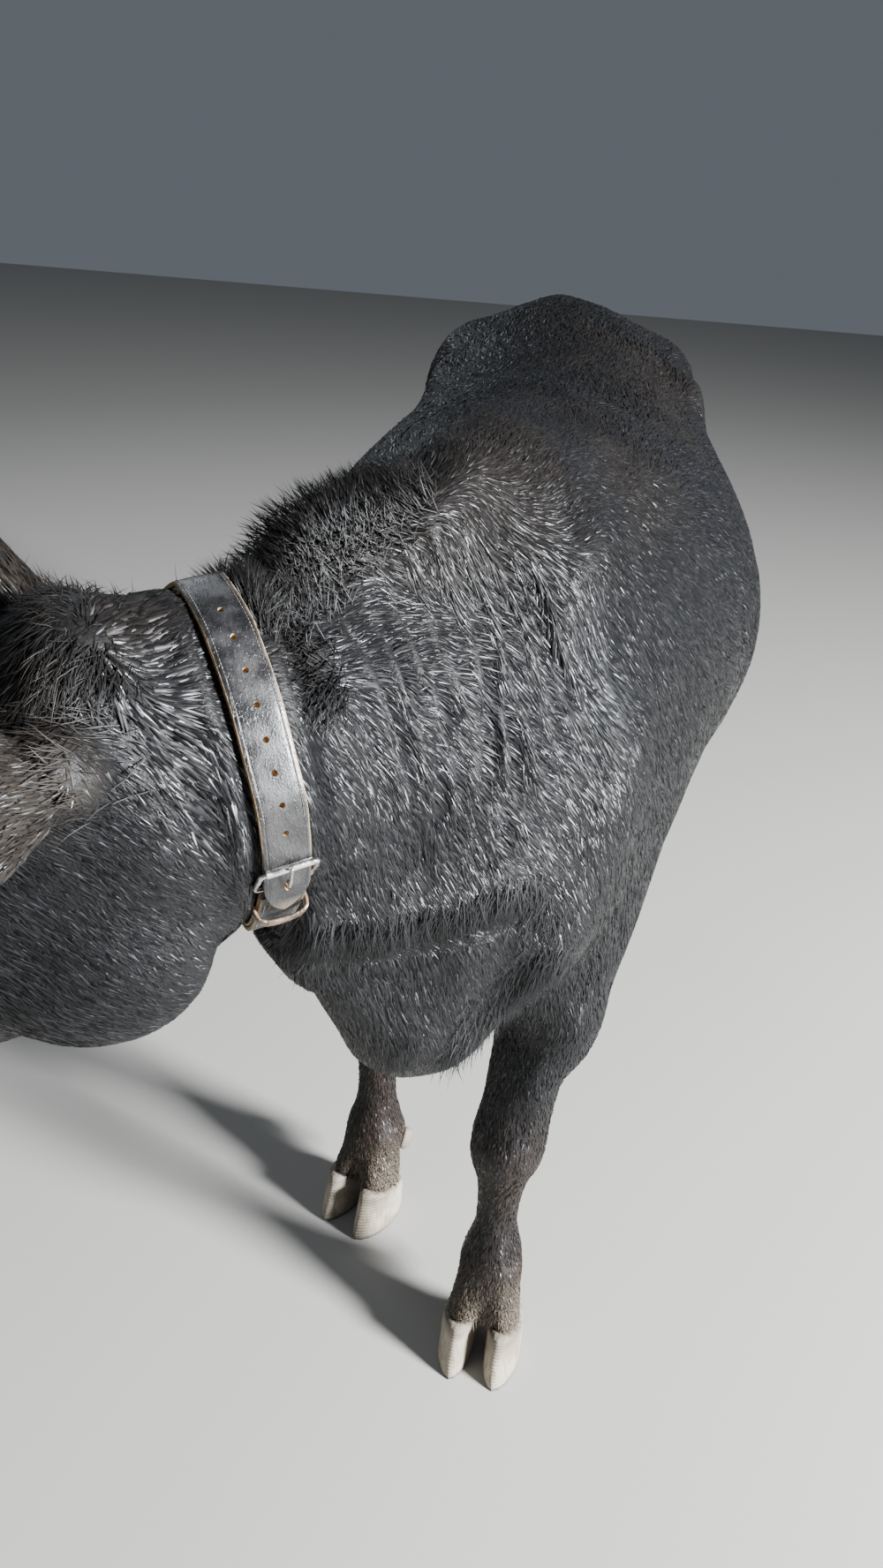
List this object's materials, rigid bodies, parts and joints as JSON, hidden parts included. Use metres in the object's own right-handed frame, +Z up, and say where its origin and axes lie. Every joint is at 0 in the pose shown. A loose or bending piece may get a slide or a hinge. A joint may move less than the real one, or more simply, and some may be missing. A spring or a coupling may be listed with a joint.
{
  "type": "standing polled black cattle model",
  "caption": "Life-size polled black beef steer standing with its neck bent to its right side, wearing a buckled leather neck collar.",
  "frame": {"origin": "on the floor below the middle of the animal's bounding box", "axes": "+Y runs from the chest to the tail, +Z is up, +X is the animal's left"},
  "size_m": [0.9342, 2.0145, 1.2353],
  "materials": {
    "coat": "short glossy hair",
    "horn": "dusty hoof horn",
    "eye": "wet gloss",
    "collar_leather": "worn, glossy",
    "collar_lining": "raw edge",
    "buckle_steel": "worn"
  },
  "bodies": {
    "root": {"buckle_frame": "buckle_steel", "buckle_prong": "buckle_steel", "collar_keeper": "collar_leather", "collar_lining": "collar_lining", "collar_strap": "collar_leather", "ear_left": "coat", "ear_right": "coat", "eye_left": "eye", "eye_right": "eye", "fore_left_cannon": "coat", "fore_left_claw_inner": "horn", "fore_left_claw_outer": "horn", "fore_left_dewclaw_inner": "horn", "fore_left_dewclaw_outer": "horn", "fore_left_forearm": "coat", "fore_right_cannon": "coat", "fore_right_claw_inner": "horn", "fore_right_claw_outer": "horn", "fore_right_dewclaw_inner": "horn", "fore_right_dewclaw_outer": "horn", "fore_right_forearm": "coat", "head": "coat", "hind_left_cannon": "coat", "hind_left_claw_inner": "horn", "hind_left_claw_outer": "horn", "hind_left_dewclaw_inner": "horn", "hind_left_dewclaw_outer": "horn", "hind_left_gaskin": "coat", "hind_right_cannon": "coat", "hind_right_claw_inner": "horn", "hind_right_claw_outer": "horn", "hind_right_dewclaw_inner": "horn", "hind_right_dewclaw_outer": "horn", "hind_right_gaskin": "coat", "neck": "coat", "poll_tuft": "coat", "tail": "coat", "tail_switch": "coat", "torso": "coat"}
  },
  "joints": []
}
